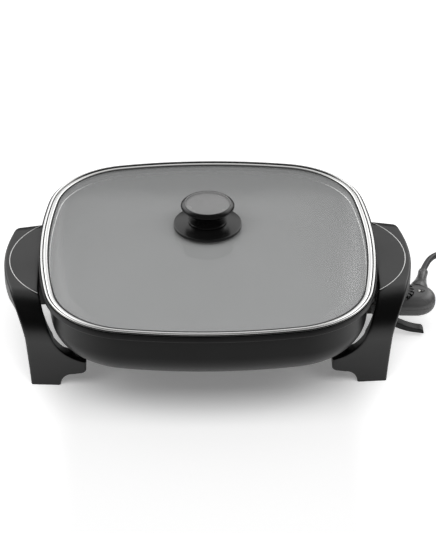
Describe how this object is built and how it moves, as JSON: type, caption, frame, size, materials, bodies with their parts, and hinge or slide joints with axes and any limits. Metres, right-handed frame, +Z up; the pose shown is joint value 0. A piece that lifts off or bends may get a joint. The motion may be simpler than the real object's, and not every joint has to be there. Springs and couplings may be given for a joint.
{
  "type": "electric skillet",
  "caption": "Square electric skillet: non-stick pan on two black handles with legs, clear lid with a steel rim and a round knob, plug-in heat control with dial, trigger and cord.",
  "frame": {"origin": "on the floor under the middle of the object's own box, which leaves out the free cord, its coil and its plug", "axes": "+X towards the heat control's side, +Y towards the back, +Z up"},
  "size_m": [0.5682, 0.308, 0.1445],
  "materials": {
    "pan_coating": "dark grey non-stick coating on cast aluminium",
    "element_sheath": "heat-darkened steel sheath",
    "steel": "polished stainless steel",
    "handle_phenolic": "satin black phenolic",
    "lid_glass": "clear tempered glass",
    "black_rubber": "matt",
    "knob_black": "semi-gloss black",
    "control_black": "satin black",
    "contact_phenolic": "matt brown-black",
    "brass": "plain",
    "indicator_lens": "clear, unlit",
    "indicator_lamp": "amber",
    "cord_black": "satin black sheath"
  },
  "bodies": {
    "skillet": {"pan": "pan_coating", "heating_element": "element_sheath", "terminal_pin_front": "steel", "terminal_pin_back": "steel", "terminal_guard": "steel", "guard_screw_front": "steel", "guard_screw_back": "steel", "probe_well": "steel", "left_handle": "handle_phenolic", "right_handle": "handle_phenolic", "handle_screw_left_front": "steel", "handle_screw_left_back": "steel", "handle_screw_right_front": "steel", "handle_screw_right_back": "steel"},
    "lid": {"lid_rim": "steel", "lid_glass": "lid_glass", "knob_gasket": "black_rubber", "knob_skirt": "knob_black", "knob_grip": "knob_black", "knob_screw": "steel", "knob_washer": "steel"},
    "control": {"control_top": "control_black", "control_bottom": "control_black", "control_screw_front": "steel", "control_screw_back": "steel", "contact_block": "contact_phenolic", "receptacle_front": "brass", "receptacle_back": "brass", "probe_rod": "steel", "thermostat": "contact_phenolic", "indicator_lamp": "indicator_lamp", "indicator_lens": "indicator_lens", "strain_relief": "control_black", "trigger_pin": "steel", "trigger_spring": "steel", "cord_run": "cord_black", "cord_coil": "cord_black", "cord_tie": "black_rubber", "plug_body": "cord_black", "plug_blade_left": "brass", "plug_blade_right": "brass"},
    "dial": {"dial": "knob_black", "dial_spindle": "steel"},
    "trigger": {"release_trigger": "control_black"}
  },
  "joints": [
    {"name": "lid_lift", "type": "slide", "parent": "skillet", "child": "lid", "axis": [0, 0, 1], "range_m": [0, 0.15]},
    {"name": "control_pull", "type": "slide", "parent": "skillet", "child": "control", "axis": [1, 0, 0], "range_m": [0, 0.085]},
    {"name": "dial_turn", "type": "hinge", "parent": "control", "child": "dial", "pos_m": [0.16295, 0, 0.0448], "axis": [0, 0, -1], "range_deg": [0, 270]},
    {"name": "trigger_squeeze", "type": "hinge", "parent": "control", "child": "trigger", "pos_m": [0.14745, 0, 0.023], "axis": [0, -1, 0], "range_deg": [0, 15], "stiffness_Nm_per_rad": 0.05, "springref_deg": -20.05}
  ]
}
